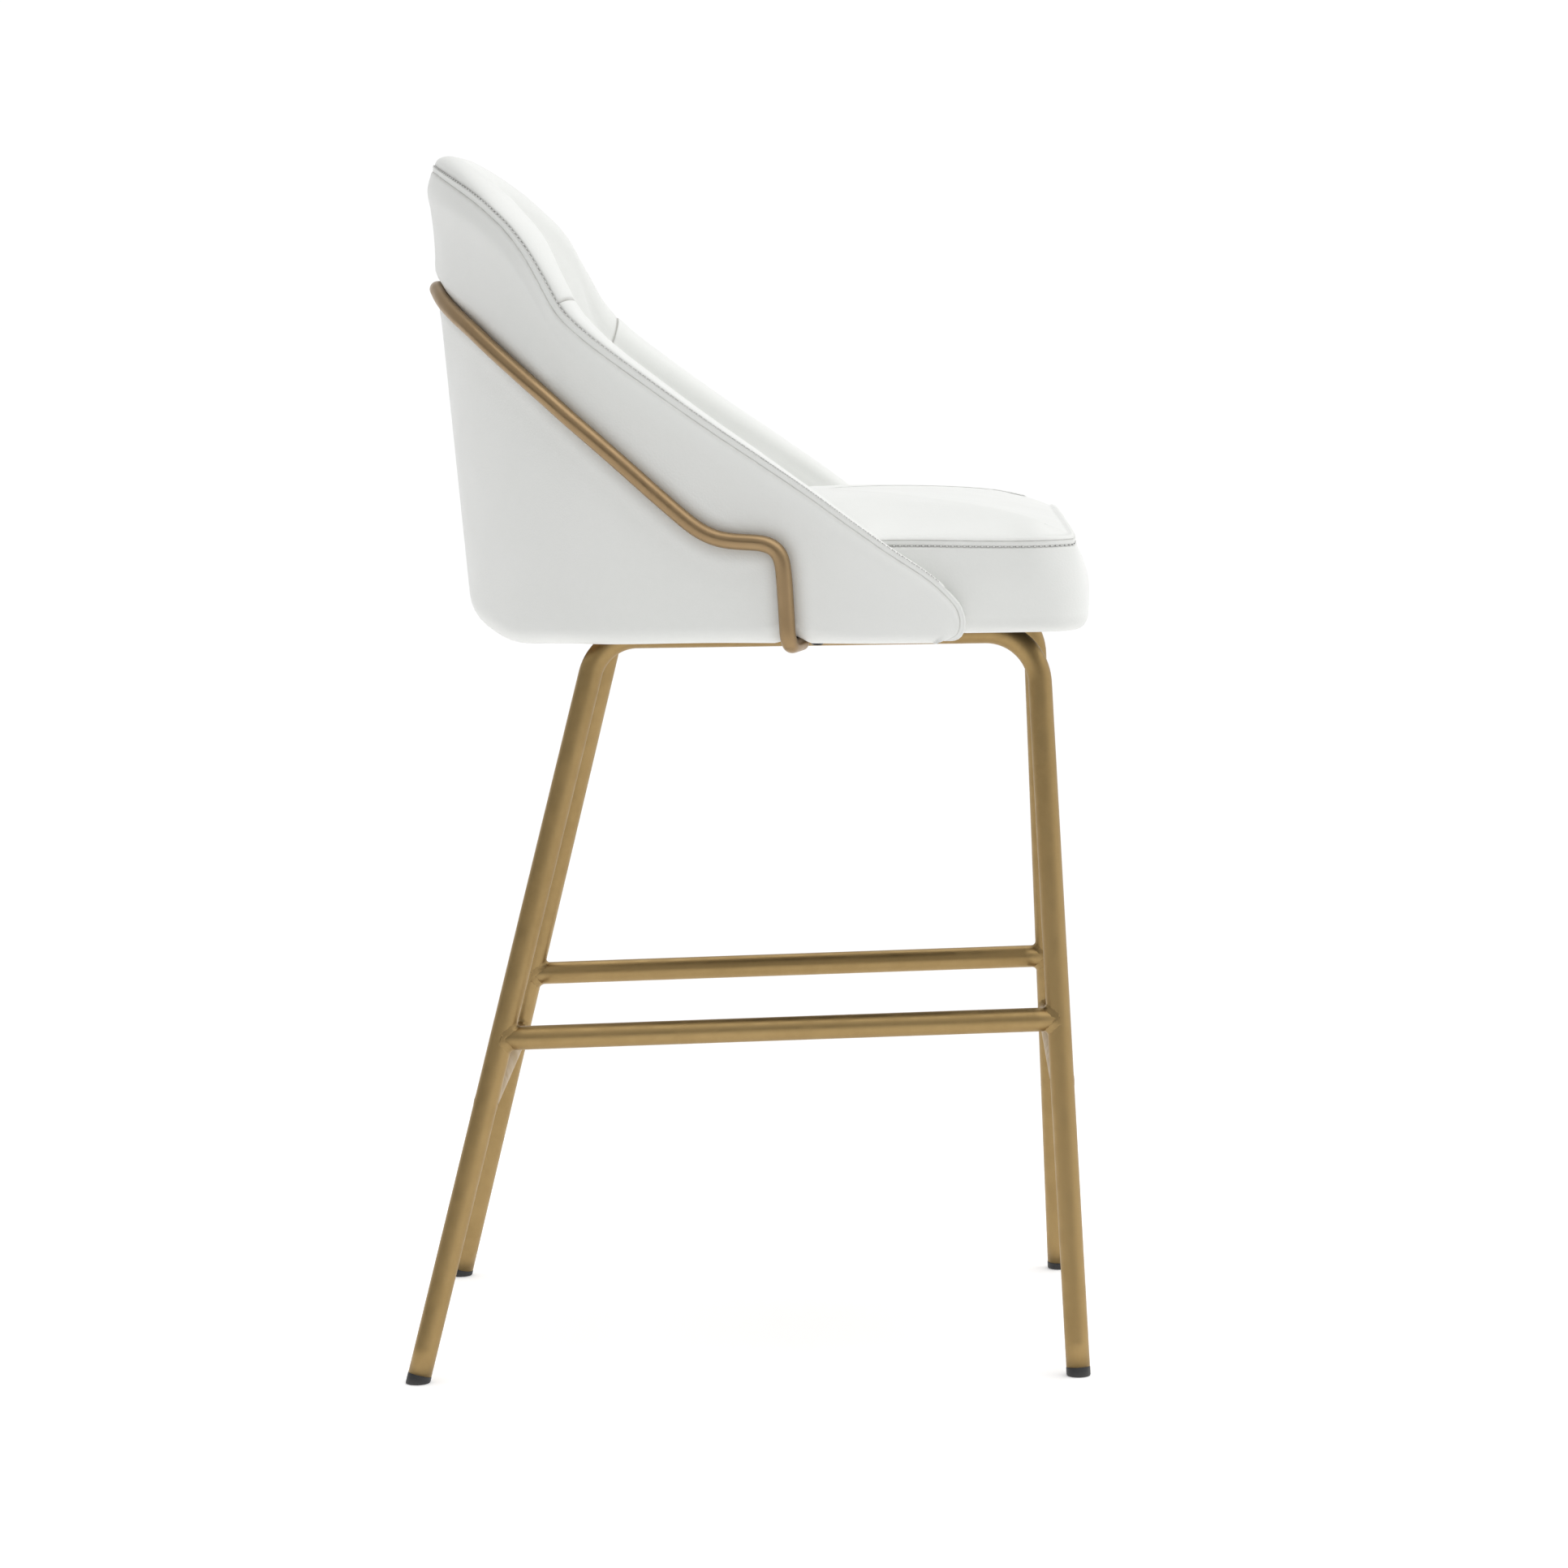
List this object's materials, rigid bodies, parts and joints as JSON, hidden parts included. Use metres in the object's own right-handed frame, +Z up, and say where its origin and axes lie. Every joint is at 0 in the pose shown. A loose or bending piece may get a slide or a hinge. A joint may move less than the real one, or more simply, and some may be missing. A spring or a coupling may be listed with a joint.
{
  "type": "bar stool",
  "caption": "Counter-height stool with a winged padded back, domed seat, splayed tube legs, a footrest frame and a rod that wraps the back.",
  "frame": {"origin": "on the floor, under the middle of the stool's bounding box", "axes": "+Z up, the stool faces -Y, X is across the seat and the two halves mirror each other over X = 0"},
  "size_m": [0.4908, 0.5266, 0.9251],
  "materials": {
    "frame_brass": "satin antique brass plating over steel tube",
    "rod_brass": "satin bronze-brass plating over steel rod",
    "bar_steel": "black powder coat",
    "cap_plastic": "black moulded plastic",
    "fastener_steel": "zinc plated",
    "black_steel": "black oxide",
    "dust_cloth": "black non-woven cloth",
    "plywood": "raw plywood",
    "foam": "open-cell polyurethane foam",
    "white_leather": "white grained synthetic leather with a soft sheen"
  },
  "bodies": {
    "root": {"left_side_frame": "frame_brass", "right_side_frame": "frame_brass", "left_foot_rail": "frame_brass", "right_foot_rail": "frame_brass", "front_crossbar": "frame_brass", "rear_crossbar": "frame_brass", "front_seat_bar": "bar_steel", "rear_seat_bar": "bar_steel", "front_left_cap": "cap_plastic", "front_right_cap": "cap_plastic", "rear_left_cap": "cap_plastic", "rear_right_cap": "cap_plastic", "seat_bolts": "fastener_steel", "bolt_washers": "fastener_steel", "tee_nuts": "fastener_steel", "dust_cover": "dust_cloth", "seat_board": "plywood", "seat_foam": "foam", "seat_band": "white_leather", "seat_top_panel": "white_leather", "shell_board": "plywood", "shell_screws": "fastener_steel", "shell_foam": "foam", "outer_cover": "white_leather", "back_inner_panel": "white_leather", "left_inner_panel": "white_leather", "right_inner_panel": "white_leather", "rim_piping": "white_leather", "wrap_rod": "rod_brass", "left_rod_tab": "rod_brass", "right_rod_tab": "rod_brass", "rod_screws": "black_steel"}
  },
  "joints": []
}
